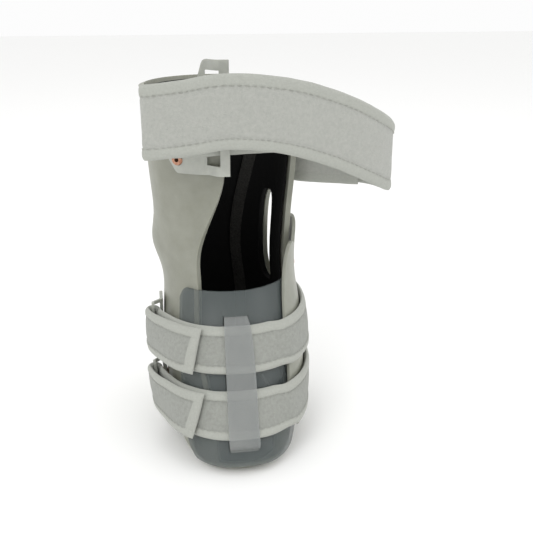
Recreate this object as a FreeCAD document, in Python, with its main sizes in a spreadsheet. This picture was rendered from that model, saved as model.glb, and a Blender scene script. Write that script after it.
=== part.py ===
"""Ankle foot orthosis for a small child, millimetres, +Z up, toes towards -Y.

The origin is on the flat sole, straight under the middle of the calf.  A wall of
the boot is a patch of one surface, given by an angle round the leg (0 at the
front, positive towards +X) and a height, and every layer lies at its own offset
from that surface.
"""
import FreeCAD, Part
import math
import os
import Sketcher
from FreeCAD import Placement, Rotation, Vector

doc = FreeCAD.newDocument("AnkleFootOrthosis")
sheet = doc.addObject("Spreadsheet::Sheet", "Sizes")

# Outer surface of the plastic at eight levels:
# height, half width, back, front, middle, squareness of the section.
LEVELS = {
    "sole": (0, 25, 31, -75, 2, 2.6),
    "rim": (5, 31, 37, -80, 2, 2.6),
    "forefoot": (29, 36, 41, -66, 2, 2.4),
    "instep": (59, 37, 41, -51.5, 2, 2.3),
    "ankle": (86, 35, 40, -38.5, 1, 2.1),
    "shin": (115, 37, 38.5, -36.5, 0, 2.0),
    "calf": (150, 40, 39, -37, 0, 2.0),
    "brim": (212, 42, 40, -38, 0, 2.0),
}
MEASURES = ("height", "half_width", "back", "front", "middle", "squareness")

SIZES = {
    "shell_thick": 3, "shell_top": 189, "sole_thick": 3, "gap": 0.4,
    "foam_thick": 3.6, "tongue_thick": 1.5, "flap_thick": 2,
    "tongue_top": 86, "tongue_foot": 5, "tongue_left": -47, "tongue_right": 60,
    "keeper_left": -7, "keeper_right": 9, "keeper_low": 12, "keeper_high": 75,
    "window_low": 72, "window_high": 127, "window_rear": 127, "window_fore": 105,
    "relief_height": 4, "relief_angle": -95, "relief_level": 103, "relief_reach": 13,
    "strap_thick": 2.6, "patch_thick": 0.8,
    "calf_strap_width": 36, "foot_strap_width": 25,
    "instep_level": 59, "forefoot_level": 29,
    "loop_bar_angle": -77, "loop_rivet_angle": -88.5, "loop_plate": 1.8,
    "loop_bar": 1.5, "loop_slot": 4.4, "loop_tab": 5, "loop_arm": 1.9, "anchor_angle": 118,
    "leaf_root_angle": -72, "leaf_tip_angle": -25,
    "rivet_radius": 2, "rivet_hole": 1.2, "rivet_rim": 3.1, "rivet_rim_thick": 0.8,
    "washer_radius": 4, "washer_thick": 0.8, "running_fit": 0.05,
    "chafe_low": 149, "chafe_high": 206, "chafe_tab_high": 188, "chafe_rear": -45,
    "chafe_fore": 1, "chafe_slot_rear": -14, "chafe_slot_fore": -5, "chafe_end_bar": 5,
    "chafe_bar_rise": 4,
    "chafe_rivet_angle": -36, "chafe_rivet_low": 156, "chafe_rivet_high": 182,
    "flap_rivet_angle": 95, "flap_rivet_height": 86,
    "landing_level": 150, "landing_rivet_angle": 137, "landing_rivet_spread": 18,
}


def fill_sheet():
    """One row for each driving dimension."""
    values = dict(SIZES)
    for level, numbers in LEVELS.items():
        for measure, number in zip(MEASURES, numbers):
            values[level + "_" + measure] = number
    for row, (alias, number) in enumerate(values.items(), start=1):
        sheet.set("A%d" % row, alias)
        sheet.set("B%d" % row, str(number))
        sheet.setAlias("B%d" % row, alias)
    doc.recompute()


fill_sheet()


def size(alias):
    return float(sheet.get(alias))


# ---------------------------------------------------------------- surface

def along_levels(measure, height):
    """A measure of the section at any height, on a smooth curve through the levels."""
    heights = [size(level + "_height") for level in LEVELS]
    values = [size(level + "_" + measure) for level in LEVELS]
    last = len(heights) - 1
    slopes = []
    for i in range(last + 1):
        low, high = max(i - 1, 0), min(i + 1, last)
        slopes.append((values[high] - values[low]) / (heights[high] - heights[low]))
    i = 0
    while i < last - 1 and height > heights[i + 1]:
        i += 1
    step = heights[i + 1] - heights[i]
    f = (height - heights[i]) / step
    return (values[i] * (1 + 2 * f) * (1 - f) ** 2 + slopes[i] * step * f * (1 - f) ** 2
            + values[i + 1] * f * f * (3 - 2 * f) + slopes[i + 1] * step * f * f * (f - 1))


LEVEL_STEP = 0.5
SECTIONS = [tuple(along_levels(measure, i * LEVEL_STEP) for measure in MEASURES[1:])
            for i in range(int(size("brim_height") / LEVEL_STEP) + 1)]


def section(height):
    """Half width, back, front, middle and squareness at a height."""
    place = min(max(height / LEVEL_STEP, 0), len(SECTIONS) - 1.001)
    i = int(place)
    f = place - i
    return [a + (b - a) * f for a, b in zip(SECTIONS[i], SECTIONS[i + 1])]


def rounded(value, power):
    return math.copysign(abs(value) ** power, value)


def bare_point(angle, height):
    half_width, back, front, middle, squareness = section(height)
    power = 2 / squareness
    turn = math.radians(angle)
    return Vector(middle + half_width * rounded(math.sin(turn), power),
                  (back + front) / 2 - (back - front) / 2 * rounded(math.cos(turn), power),
                  height)


def round_way(angle, height):
    """Level unit vector along the wall, towards a larger angle."""
    return (bare_point(angle + 1.5, height) - bare_point(angle - 1.5, height)).normalize()


def level_outward(angle, height):
    """Level unit vector away from the leg, square to the wall's section."""
    return round_way(angle, height).cross(Vector(0, 0, 1))


def outward(angle, height):
    """Unit normal of the boot, away from the leg."""
    up_way = bare_point(angle, height + 1) - bare_point(angle, height - 1)
    return round_way(angle, height).cross(up_way).normalize()


def relief(angle, height):
    """The dome pressed out over the ankle bone of the left wall."""
    away = bare_point(angle, height).distanceToPoint(
        bare_point(size("relief_angle"), size("relief_level")))
    return size("relief_height") * math.exp(-(away / size("relief_reach")) ** 2)


def boot_point(angle, height, offset):
    """Point at a level distance outside the bare surface."""
    reach = offset + relief(angle, height)
    return bare_point(angle, height) + level_outward(angle, height) * reach


def blend(low, high, value):
    """0 below low, 1 above high, smooth between."""
    f = min(max((value - low) / (high - low), 0), 1)
    return f * f * (3 - 2 * f)


def between(start, end, fraction):
    return start + (end - start) * fraction


def stops(count):
    return [i / (count - 1) for i in range(count)]


# ---------------------------------------------------------------- solids

def closed_solid(faces):
    """Solid inside faces that meet edge to edge."""
    shell = Part.makeShell(faces)
    shell.sewShape()
    solid = Part.makeSolid(shell)
    if solid.Volume < 0:
        solid.reverse()
    return solid


def stepped_solid(rows):
    """Solid through rows of (inner point, outer point) pairs, in short straight steps."""
    rings = [[pair[0] for pair in row] + [pair[1] for pair in reversed(row)] for row in rows]
    pieces = []
    for ring, following in zip(rings, rings[1:]):
        pieces += zip(ring, ring[1:] + ring[:1], following, following[1:] + following[:1])
    for row in (rows[0], rows[-1]):
        for low, high in zip(row, row[1:]):
            pieces.append((low[0], high[0], low[1], high[1]))
    faces = []
    for near_start, near_end, far_start, far_end in pieces:
        near = Part.LineSegment(near_start, near_end)
        faces.append(near.makeRuledSurface(Part.LineSegment(far_start, far_end)).toShape())
    return closed_solid(faces)


def solid_between(front, back):
    """Closed solid between two grids of points."""
    surfaces = []
    for grid in (front, back):
        surface = Part.BSplineSurface()
        surface.interpolate(grid)
        surfaces.append(surface)
    bounds = [surface.bounds() for surface in surfaces]
    for end in (0, 1):
        front_rim, back_rim = [s.uIso(b[end]) for s, b in zip(surfaces[:2], bounds)]
        surfaces.append(front_rim.makeRuledSurface(back_rim))
        front_rim, back_rim = [s.vIso(b[2 + end]) for s, b in zip(surfaces[:2], bounds)]
        surfaces.append(front_rim.makeRuledSurface(back_rim))
    return closed_solid([surface.toShape() for surface in surfaces])


def wall(place, inner, outer, across, up):
    """Patch of the boot between two offsets; place(s, t) gives its angle and height."""
    grids = []
    for offset in (outer, inner):
        rows = []
        for s in stops(across):
            row = []
            for t in stops(up):
                angle, height = place(s, t)
                row.append(boot_point(angle, height, offset(angle, height)))
            rows.append(row)
        grids.append(rows)
    return solid_between(*grids)


def always(value):
    return lambda angle, height: value


def ribbon(lines, thickness):
    """Band whose middle face is a grid: lines[i][j], i along it and j across it."""
    count, width = len(lines), len(lines[0])
    front, back = [], []
    for i in range(count):
        front_row, back_row = [], []
        for j in range(width):
            along = lines[min(i + 1, count - 1)][j] - lines[max(i - 1, 0)][j]
            across = lines[i][min(j + 1, width - 1)] - lines[i][max(j - 1, 0)]
            face = along.cross(across).normalize() * (thickness / 2)
            front_row.append(lines[i][j] + face)
            back_row.append(lines[i][j] - face)
        front.append(front_row)
        back.append(back_row)
    return solid_between(front, back)


def pin(point, direction, radius, depth):
    """Cylinder both ways along a direction, for cutting a hole."""
    start = point - direction * depth
    return Part.makeCylinder(radius, 2 * depth, start, direction)


def feature(label, shape):
    """A sub-part whose shape follows the curved boot."""
    piece = doc.addObject("Part::Feature", label)
    piece.Label = label
    piece.Shape = shape
    piece.Placement = Placement()
    return piece


def wall_frame(angle, height, offset):
    """Placement with Z outward, X forward round the wall at a point of the boot."""
    normal = outward(angle, height)
    upright = Vector(0, 0, 1)
    sideways = upright.cross(normal).normalize()
    rotation = Rotation(sideways, normal.cross(sideways), normal, "ZXY")
    return Placement(boot_point(angle, height, offset), rotation)


def plane_of(body, role):
    return [part for part in body.Origin.OriginFeatures if part.Role == role][0]


def sketch_on(body, name, role):
    sketch = body.newObject("Sketcher::SketchObject", name)
    sketch.AttachmentSupport = [(plane_of(body, role), "")]
    sketch.MapMode = "FlatFace"
    return sketch


def draw_outline(sketch, points):
    """Closed outline of straight lines."""
    for start, end in zip(points, points[1:] + points[:1]):
        line = Part.LineSegment(Vector(*start, 0), Vector(*end, 0))
        sketch.addGeometry(line, False)


nodes = []


def add_node(piece):
    nodes.append(piece)
    return piece


# ---------------------------------------------------------------- fasteners
# Each rivet stands on the inner washer and closes on the outer face of its stack.

def tubular_rivet(name, grip_low, grip_high, place):
    """Hollow rivet from grip_low inside to grip_high outside, as a turned body."""
    body = doc.addObject("PartDesign::Body", name)
    profile = sketch_on(body, name + "_profile", "XZ_Plane")
    rim = size("rivet_rim_thick")
    hole, shank, edge = size("rivet_hole"), size("rivet_radius"), size("rivet_rim")
    draw_outline(profile, [
        (hole, grip_low - rim), (edge, grip_low - rim), (edge, grip_low),
        (shank, grip_low), (shank, grip_high), (edge, grip_high),
        (edge - rim / 2, grip_high + rim), (hole, grip_high + rim)])
    turned = body.newObject("PartDesign::Revolution", name + "_turned")
    turned.Profile = profile
    turned.ReferenceAxis = (profile, ["V_Axis"])
    turned.Angle = 360
    body.Placement = place
    return body


def washer(name, height, place):
    """Flat ring under the inner end of a rivet."""
    body = doc.addObject("PartDesign::Body", name)
    ring = sketch_on(body, name + "_ring", "XY_Plane")
    for alias, extra in (("washer_radius", ""), ("rivet_radius", " + Sizes.running_fit")):
        circle = ring.addGeometry(
            Part.Circle(Vector(), Vector(0, 0, 1), size(alias)), False)
        number = ring.addConstraint(
            Sketcher.Constraint("Radius", circle, size(alias)))
        ring.setExpression("Constraints[%d]" % number, "Sizes.%s%s" % (alias, extra))
    pad = body.newObject("PartDesign::Pad", name + "_pad")
    pad.Profile = ring
    pad.setExpression("Length", "Sizes.washer_thick")
    body.Placement = place * Placement(Vector(0, 0, height), Rotation())
    return body


def group(name, members):
    """Identical fasteners as one node of separate solids."""
    if len(members) == 1:
        members[0].Label = name
        return add_node(members[0])
    bundle = doc.addObject("Part::Compound", name)
    bundle.Label = name
    bundle.Links = members
    return add_node(bundle)


gap = size("gap")
SEAT = 0.25     # a flat washer's rim meets the hollow side of the wall this early
PLAY = 0.02     # between a rivet's rims and what they hold


def fastener_set(rivet_name, washer_name, spots, grip_high):
    """Rivets and washers at a list of (angle, height); returns cutters for the layers."""
    rivets, washers, holes, pockets = [], [], [], []
    washer_top = -size("shell_thick") - SEAT
    washer_low = washer_top - size("washer_thick")
    for number, (angle, height) in enumerate(spots, start=1):
        place = wall_frame(angle, height, 0)
        rivets.append(tubular_rivet("%s_%d" % (rivet_name, number),
                                    washer_low - PLAY, grip_high + PLAY, place))
        washers.append(washer("%s_%d" % (washer_name, number), washer_low, place))
        normal = outward(angle, height)
        point = boot_point(angle, height, 0)
        clear = size("rivet_radius") + size("running_fit")
        holes.append(pin(point, normal, clear, 15))
        # The foam closes over the inner end of each rivet.
        floor = washer_low - size("rivet_rim_thick") - gap
        pockets.append(Part.makeCylinder(size("washer_radius") + gap, 8,
                                         point + normal * floor, normal))
    group(rivet_name, rivets)
    group(washer_name, washers)
    return holes, pockets


strap = size("strap_thick")
tongue_low, tongue_high = gap, gap + size("tongue_thick")
flap_low = tongue_high + 2 * gap
flap_high = flap_low + size("flap_thick")
band_low = tongue_high + 2 * gap
plate_low, plate_high = gap, gap + size("loop_plate")

calf_spots = [(size("chafe_rivet_angle"), size("chafe_rivet_low")),
              (size("chafe_rivet_angle"), size("chafe_rivet_high"))]
calf_holes, calf_pockets = fastener_set(
    "calf_chafe_rivets", "calf_chafe_washers", calf_spots, plate_high)

landing_spots = [(size("landing_rivet_angle"),
                  size("landing_level") + side * size("landing_rivet_spread") / 2)
                 for side in (-1, 1)]
landing_holes, landing_pockets = fastener_set(
    "calf_landing_rivets", "calf_landing_washers", landing_spots, gap + strap)

flap_holes, flap_pockets = fastener_set(
    "side_flap_rivet", "side_flap_washer",
    [(size("flap_rivet_angle"), size("flap_rivet_height"))], flap_high + 0.3)

holes = calf_holes + landing_holes + flap_holes
pockets = calf_pockets + landing_pockets + flap_pockets

FOOT_STRAPS = ("instep", "forefoot")
for name in FOOT_STRAPS:
    level = size(name + "_level")
    more = fastener_set(name + "_chafe_rivet", name + "_chafe_washer",
                        [(size("loop_rivet_angle"), level)], plate_high)
    holes += more[0]
    pockets += more[1]
    more = fastener_set(name + "_anchor_rivet", name + "_anchor_washer",
                        [(size("anchor_angle"), level)], flap_high + 1.5 * gap + strap)
    holes += more[0]
    pockets += more[1]


def cut(shape, tools):
    """Shape less the tools that reach it."""
    near = [tool for tool in tools if tool.BoundBox.intersect(shape.BoundBox)]
    if near:
        shape = shape.cut(near)
    return shape


# ---------------------------------------------------------------- shell

LIP_HEIGHT = 6      # the low rim that the shell keeps round the toes


def left_trim(height):
    """Front edge of the left wall: close to the shin at the top, back at the ankle."""
    return between(-28, -3, blend(96, 150, height)) + 10 * blend(70, 20, height)


def right_trim(height):
    """Front edge of the right wall: open wide at the calf, forward at the foot."""
    return between(30, 82, blend(18, 70, height))


def stripe(height):
    """Where the two foam panels meet on the back wall."""
    return between(167, 144, blend(86, 175, height))


def closed_section(height, offset):
    """Ring of the boot at one height."""
    ring = Part.BSplineCurve()
    turns = 40
    points = [boot_point(360 * i / turns, height, offset) for i in range(turns)]
    ring.interpolate(points, PeriodicFlag=True, Parameters=[i / turns for i in range(turns + 1)])
    return Part.Wire([ring.toShape()])


def boot_solid(low, high, offset):
    """The whole boot, filled, between two heights."""
    heights = [low] + [h for h in (2, 4, 7, 11) if h > low + 1]
    steps = 18
    heights += [between(16, high, i / steps) for i in range(steps + 1)]
    return Part.makeLoft([closed_section(h, offset) for h in heights], True, False)


def make_shell():
    outer = boot_solid(0, size("shell_top"), 0)
    hollow = boot_solid(size("sole_thick"), size("shell_top") + 4, -size("shell_thick"))
    deep, proud = -12, 12

    def front_place(s, t):
        height = between(LIP_HEIGHT, size("shell_top") + 3, t)
        return between(left_trim(height), right_trim(height), s), height

    def window_place(s, t):
        middle = (size("window_rear") + size("window_fore")) / 2
        half = (size("window_rear") - size("window_fore")) / 2
        end = 1 - abs(2 * t - 1)
        narrow = 0.45 + 0.55 * math.sqrt(blend(0, 0.3, end))
        height = between(size("window_low"), size("window_high"), t)
        return middle + half * (2 * s - 1) * narrow, height

    window = wall(window_place, always(deep), always(proud), 5, 15)
    front = wall(front_place, always(deep), always(proud), 15, 30)
    add_node(feature("shell", cut(outer.cut(hollow), [front, window] + holes)))
    return window


window = make_shell()


# ---------------------------------------------------------------- foam

def make_lining(label, start, end):
    """Foam panel inside the wall, from the pad up to just under the brim."""
    outer = -size("shell_thick") - gap
    low, high = 9, size("shell_top") - 1

    def place(s, t):
        height = between(low, high, t)
        return between(start(height), end(height), s), height

    panel = wall(place, always(outer - size("foam_thick")), always(outer), 24, 22)
    add_node(feature(label, cut(panel, [window] + pockets)))


make_lining("lining_right", lambda h: right_trim(h) + 2, lambda h: stripe(h) - 0.6)
make_lining("lining_left", lambda h: stripe(h) - 360 + 0.6, lambda h: left_trim(h) - 2)

pad_low = size("sole_thick") + gap
pad_outline = Part.Face(closed_section(pad_low, -size("shell_thick") - 3 * gap))
add_node(feature("foot_pad", pad_outline.extrude(Vector(0, 0, size("foam_thick")))))


# ---------------------------------------------------------------- flap and tongue

def dome(value, centre, reach, rise):
    return rise * math.sqrt(max(0, 1 - ((value - centre) / reach) ** 2))


def make_side_flap():
    """Plate riveted outside the right wall, with a low front ear and a high rear ear."""
    fore, rear, shoulder, lowest = 39, 126, 82, 14

    columns, steps = 30, 9
    rows = []
    for s in stops(columns):
        angle = between(fore, rear, s)
        top = shoulder + max(dome(angle, 55, 17, 23), dome(angle, 92, 35, 32))
        bottom = lowest + 15 * (1 - blend(fore, fore + 14, angle))
        row = []
        for t in stops(steps):
            height = between(bottom, top, t)
            lean = angle + 11 * (1 - s) * blend(60, 95, height)
            row.append((boot_point(lean, height, flap_low),
                        boot_point(lean, height, flap_high)))
        rows.append(row)
    add_node(feature("side_flap", cut(stepped_solid(rows), holes)))


make_side_flap()

keeper_low = band_low + strap + gap


def make_tongue():
    """Plastic sheet over the instep; the strip between two slits lies over the straps."""
    low, high = size("tongue_foot"), size("tongue_top")
    left, right = size("tongue_left"), size("tongue_right")
    slit_low, slit_high = size("keeper_low"), size("keeper_high")

    def keeper_angle(s):
        return between(size("keeper_left"), size("keeper_right"), s)

    def slit_place(s, t):
        return keeper_angle(s), between(slit_low, slit_high, t)

    overlap = 3

    def keeper_place(s, t):
        return keeper_angle(s), between(slit_low - overlap, slit_high + overlap, t)

    def keeper_offset(angle, height):
        lift = blend(slit_low - 1, slit_low + 5, height)
        lift *= blend(slit_high + 1, slit_high - 5, height)
        return between(tongue_low + 0.2, keeper_low, lift)

    def keeper_outer(angle, height):
        return keeper_offset(angle, height) + size("tongue_thick") - 0.4

    heights = [between(low, high, t) for t in stops(14)]
    cover = stepped_solid([[(boot_point(angle, h, tongue_low), boot_point(angle, h, tongue_high))
                            for h in heights]
                           for angle in [between(left, right, s) for s in stops(32)]])
    slit = wall(slit_place, always(-3), always(8), 5, 12)
    keeper = wall(keeper_place, keeper_offset, keeper_outer, 5, 24)
    add_node(feature("tongue", cover.cut(slit).fuse(keeper)))


make_tongue()


# ---------------------------------------------------------------- foot straps

fold_inside = size("loop_bar") / 2 * math.sqrt(2) + 1.4 * gap
fold_outside = fold_inside + strap
bar_offset = band_low + strap + fold_inside


def strap_heights(angle, level, count):
    """Heights across a level strap that keeps its width where the wall slopes."""
    upright = math.sqrt(1 - outward(angle, level).z ** 2)
    half = size("foot_strap_width") / 2 * upright
    return [between(level - half, level + half, t) for t in stops(count)]


def upright_angle(angle, level, height):
    """Angle at another height that is straight above or below a point of a level strap."""
    start, along = bare_point(angle, level), round_way(angle, level)
    for correction in range(4):
        miss = (bare_point(angle, height) - start).dot(along)
        degree = (bare_point(angle + 0.5, height) - bare_point(angle - 0.5, height)).dot(along)
        angle -= miss / degree
    return angle


def bar_centre(level, height):
    """Point at a height on the middle line of the straight bar of a foot loop."""
    place = wall_frame(size("loop_rivet_angle"), level, 0)
    middle = place.inverse().multVec(boot_point(size("loop_bar_angle"), level, bar_offset))
    rise = (height - level) / place.Rotation.multVec(Vector(0, 1, 0)).z
    return place.multVec(Vector(middle.x, rise, middle.z))


def lean_to_bar(angle, level, height):
    """How far a strap has moved off the boot's own lines to lie along the bar."""
    bar_angle = size("loop_bar_angle")
    boot_line = boot_point(upright_angle(bar_angle, level, height), height, bar_offset)
    return (bar_centre(level, height) - boot_line) * blend(bar_angle + 20, bar_angle, angle)


def layer_row(angle, level, inner, thickness=strap, width_share=1):
    """Points across a strap that lies on the boot."""
    row = []
    for height in strap_heights(angle, level, 5):
        height = level + (height - level) * width_share
        square = upright_angle(angle, level, height)
        lean = lean_to_bar(angle, level, height)
        row.append((boot_point(square, height, inner) + lean,
                    boot_point(square, height, inner + thickness) + lean))
    return row


def fold_row(turn, level):
    """Points across the fold round the loop's bar, turn degrees along it."""
    angle = size("loop_bar_angle")
    back = round_way(angle, level) * -math.sin(math.radians(turn))
    away = level_outward(angle, level) * -math.cos(math.radians(turn))
    row = []
    for height in strap_heights(angle, level, 5):
        bar = bar_centre(level, height)
        row.append((bar + (back + away) * fold_outside, bar + (back + away) * fold_inside))
    return row


def make_foot_strap(name):
    """Strap from its anchor over the flap and tongue, round the bar and back."""
    level = size(name + "_level")
    bar_angle, root_angle = size("loop_bar_angle"), size("leaf_root_angle")
    leaf_low = bar_offset + fold_inside
    rear_angle = 127

    def band_inner(angle):
        return between(band_low, flap_high + 1.5 * gap, blend(26, 37, angle))

    steps = 56
    rows = [layer_row(angle, level, band_inner(angle))
            for angle in [between(rear_angle, bar_angle, i / steps) for i in range(steps)]]
    rows += [fold_row(turn, level) for turn in range(0, 181, 15)]
    rows += [[(outer, inner) for inner, outer in layer_row(angle, level, leaf_low)]
             for angle in (bar_angle + 2.5, root_angle)]
    band = stepped_solid(rows)
    add_node(feature(name + "_strap_band", cut(band, holes)))

    start, tip = root_angle + 1.6, size("leaf_tip_angle")
    patch_gap = 0.15
    rest_low = band_low + strap + gap + size("patch_thick") + patch_gap

    def leaf_inner(angle):
        return between(leaf_low, rest_low, blend(root_angle, root_angle + 20, angle))

    leaf_angles = [between(start, tip, i / 12) for i in range(13)]
    rows = [layer_row(angle, level, leaf_inner(angle)) for angle in leaf_angles]
    add_node(feature(name + "_strap_end", stepped_solid(rows)))

    under = rest_low - patch_gap - size("patch_thick")
    rows = [layer_row(angle, level, under, size("patch_thick"), 0.8)
            for angle in leaf_angles[6:12]]
    add_node(feature(name + "_hook_patch", stepped_solid(rows)))
    pivot = boot_point(root_angle, level, leaf_low + strap)
    print(name, "strap_peel pivot", [round(v, 2) for v in pivot])


def make_foot_loop(name):
    """Moulded loop: a riveted tab, two arms and the bar that the strap folds round."""
    level = size(name + "_level")
    body = doc.addObject("PartDesign::Body", name + "_chafe_loop")
    place = wall_frame(size("loop_rivet_angle"), level, 0)
    bar = place.inverse().multVec(boot_point(size("loop_bar_angle"), level, bar_offset))
    half = size("loop_bar") / 2
    slot_rear = bar.x - half - size("loop_slot")
    side = sketch_on(body, name + "_loop_side", "XZ_Plane")
    draw_outline(side, [
        (-size("loop_tab"), plate_low), (slot_rear, plate_low),
        (bar.x - half, bar.z - half), (bar.x + half, bar.z - half),
        (bar.x + half, bar.z + half), (bar.x - half, bar.z + half),
        (slot_rear, plate_high), (-size("loop_tab"), plate_high)])
    pad = body.newObject("PartDesign::Pad", name + "_loop_pad")
    pad.Profile = side
    pad.setExpression("Length", "Sizes.foot_strap_width + 0.6 + 2 * Sizes.loop_arm")
    pad.Midplane = True
    doc.recompute()
    openings = sketch_on(body, name + "_loop_openings", "XY_Plane")
    reach = size("foot_strap_width") / 2 + 0.3
    draw_outline(openings, [(slot_rear, -reach), (bar.x - half, -reach),
                            (bar.x - half, reach), (slot_rear, reach)])
    openings.addGeometry(Part.Circle(Vector(), Vector(0, 0, 1), clear_radius), False)
    pocket = body.newObject("PartDesign::Pocket", name + "_loop_pocket")
    pocket.Profile = openings
    pocket.Type = "ThroughAll"
    pocket.Midplane = True
    body.Placement = place
    doc.recompute()
    before, after = pad.Shape.Volume, body.Shape.Volume
    assert after < before * 0.8, "the slot of %s isn't cut" % body.Label
    add_node(body)


clear_radius = size("rivet_radius") + size("running_fit")
for name in FOOT_STRAPS:
    make_foot_strap(name)
    make_foot_loop(name)


# ---------------------------------------------------------------- calf strap

def make_calf_loop():
    """Moulded plate on the left wall, with a slot beside its long upright bar."""
    rear, fore = size("chafe_rear"), size("chafe_fore")
    slot_rear, slot_fore = size("chafe_slot_rear"), size("chafe_slot_fore")
    end_bar = size("chafe_end_bar")

    def place(s, t):
        angle = between(rear, fore, s)
        corner = 7 * (1 - blend(0, 0.2, s))
        widen = blend(slot_rear - 10, slot_rear, angle)
        top = between(size("chafe_tab_high") - corner, size("chafe_high"), widen)
        return angle, between(size("chafe_low") + corner, top, t)

    def slot_place(s, t):
        low, high = size("chafe_low") + end_bar, size("chafe_high") - end_bar
        return between(slot_rear, slot_fore, s), between(low, high, t)

    def inner(angle, height):
        return plate_low + size("chafe_bar_rise") * blend(slot_rear, slot_fore, angle)

    def outer(angle, height):
        return inner(angle, height) + size("loop_plate")

    plate = wall(place, inner, outer, 24, 10)
    slot = wall(slot_place, always(-2), always(9), 4, 6)
    add_node(feature("calf_chafe_loop", cut(plate, [slot] + calf_holes)))


make_calf_loop()


def smooth_path(points, count):
    """Even points along a smooth curve through the given ones."""
    curve = Part.BSplineCurve()
    curve.interpolate([Vector(*p) for p in points])
    return curve.discretize(Number=count)


def strap_lines(path, width):
    """Lines across a strap, each square to its path and as upright as it can be."""
    lines = []
    for i, point in enumerate(path):
        along = (path[min(i + 1, len(path) - 1)] - path[max(i - 1, 0)]).normalize()
        upright = Vector(0, 0, 1)
        across = (upright - along * upright.dot(along)).normalize() * (width / 2)
        lines.append([point + across * f for f in (-1, -0.5, 0, 0.5, 1)])
    return lines


# The route of the long strap: from its end behind the loop's bar, out through the
# slot, round to the left, across the front and out to the far right.
CALF_ROUTE = [
    (24, -36, 177), (10, -38, 177), (0.5, -39.6, 177), (-4, -39.8, 177),
    (-10.5, -42, 177), (-20, -43.2, 177), (-33, -43.6, 177), (-40.3, -46.6, 177.4),
    (-36, -50.6, 178.2), (-20, -54.6, 180.5), (0, -58, 183.5), (28, -57.4, 180.5),
    (55, -50, 171.5), (76, -38.5, 160.5), (86.5, -27, 153.5), (88.3, -18, 151),
    (86.5, -10.5, 150.3),
]
# Its free end, which comes back on the outside of the landing strap and peels
# off it about the upright line where the two meet.
CALF_END = [(86.3, -9.9, 150.3), (83.8, -4.2, 150.2), (79.3, 1.2, 150), (72, 5.2, 150),
            (60, 9.9, 150)]
LANDING_ROUTE = [(44, 11.5, 150), (51, 7.3, 150), (64, 2.4, 150), (77, -2.6, 150)]


def make_calf_strap():
    width = size("calf_strap_width")
    ends = Vector(*CALF_ROUTE[-1]), Vector(*CALF_END[0])
    outside = (ends[1] - ends[0]).normalize().cross(Vector(0, 0, 1)) * (strap / 2)
    pivot = (ends[0] + ends[1]) / 2 + outside
    print("calf strap_peel pivot", [round(v, 2) for v in pivot])
    band = ribbon(strap_lines(smooth_path(CALF_ROUTE, 110), width), strap)
    add_node(feature("calf_strap_band", band))
    end_path = smooth_path(CALF_END, 16)
    add_node(feature("calf_strap_end", ribbon(strap_lines(end_path, width), strap)))

    inset = 3
    lift = (strap + size("patch_thick")) / 2 + size("running_fit")
    patch_path = []
    for i in range(4, len(end_path) - 1):
        along = (end_path[i + 1] - end_path[i - 1]).normalize()
        patch_path.append(end_path[i] + along.cross(Vector(0, 0, 1)) * -lift)
    patch = ribbon(strap_lines(patch_path, width - 2 * inset), size("patch_thick"))
    add_node(feature("calf_hook_patch", patch))

    # The landing strap lies on the wall as far as it is riveted, then stands away.
    rear, leaves_wall = size("landing_rivet_angle") + 10, 114
    low, high = size("landing_level") - width / 2, size("landing_level") + width / 2
    rows = []
    for i in range(9):
        angle = between(rear, leaves_wall, i / 8)
        rows.append([(boot_point(angle, h, gap), boot_point(angle, h, gap + strap))
                     for h in (low, size("landing_level"), high)])
    last_wall = boot_point(leaves_wall + 2, size("landing_level"), gap + strap / 2)
    path = smooth_path([tuple(last_wall)] + LANDING_ROUTE, 26)
    for i in range(2, len(path)):
        along = (path[min(i + 1, len(path) - 1)] - path[i - 1]).normalize()
        out = along.cross(Vector(0, 0, -1)) * (strap / 2)
        level = [path[i] + Vector(0, 0, side * width / 2) for side in (-1, 0, 1)]
        rows.append([(point - out, point + out) for point in level])
    landing = stepped_solid(rows)
    add_node(feature("calf_landing_strap", cut(landing, landing_holes)))


make_calf_strap()


# ---------------------------------------------------------------- export

def check_document():
    """Stops on a failed object or a sub-part that isn't a sound solid."""
    doc.recompute()
    for piece in doc.Objects:
        states = [state for state in piece.State if state in ("Invalid", "Error")]
        assert not states, "%s is %s" % (piece.Label, states)
    for node in nodes:
        shape = node.Shape
        assert not shape.isNull(), node.Label + " is null"
        assert shape.isValid(), node.Label + " isn't valid"
        assert shape.Solids, node.Label + " has no solid"


check_document()
os.makedirs("parts", exist_ok=True)
for node in nodes:
    node.Shape.exportStep("parts/%s.step" % node.Label)
    print(node.Label, len(node.Shape.Solids), "solids", round(node.Shape.Volume), "mm3")
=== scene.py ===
"""Ankle foot orthosis for a small child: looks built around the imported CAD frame.

Shapes are worked out in millimetres on the boot's own surface, given by an angle
round the leg (0 at the front, positive towards the flap) and a height.
"""
import math

import bpy
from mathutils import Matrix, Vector, noise


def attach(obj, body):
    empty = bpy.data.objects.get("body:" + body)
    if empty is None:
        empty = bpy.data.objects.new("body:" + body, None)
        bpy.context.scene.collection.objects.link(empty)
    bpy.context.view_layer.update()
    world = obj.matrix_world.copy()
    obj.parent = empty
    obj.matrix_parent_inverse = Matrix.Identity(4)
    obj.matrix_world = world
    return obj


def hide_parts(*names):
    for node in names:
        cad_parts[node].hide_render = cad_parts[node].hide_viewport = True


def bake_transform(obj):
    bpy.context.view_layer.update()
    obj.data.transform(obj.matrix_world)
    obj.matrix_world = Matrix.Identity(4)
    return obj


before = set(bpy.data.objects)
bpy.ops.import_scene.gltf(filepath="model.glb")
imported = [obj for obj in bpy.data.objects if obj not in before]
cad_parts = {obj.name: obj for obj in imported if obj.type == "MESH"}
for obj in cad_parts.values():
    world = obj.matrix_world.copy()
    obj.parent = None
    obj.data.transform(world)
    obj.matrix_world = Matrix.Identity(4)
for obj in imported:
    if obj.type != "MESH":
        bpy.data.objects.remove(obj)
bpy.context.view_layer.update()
MM = 0.001

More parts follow.
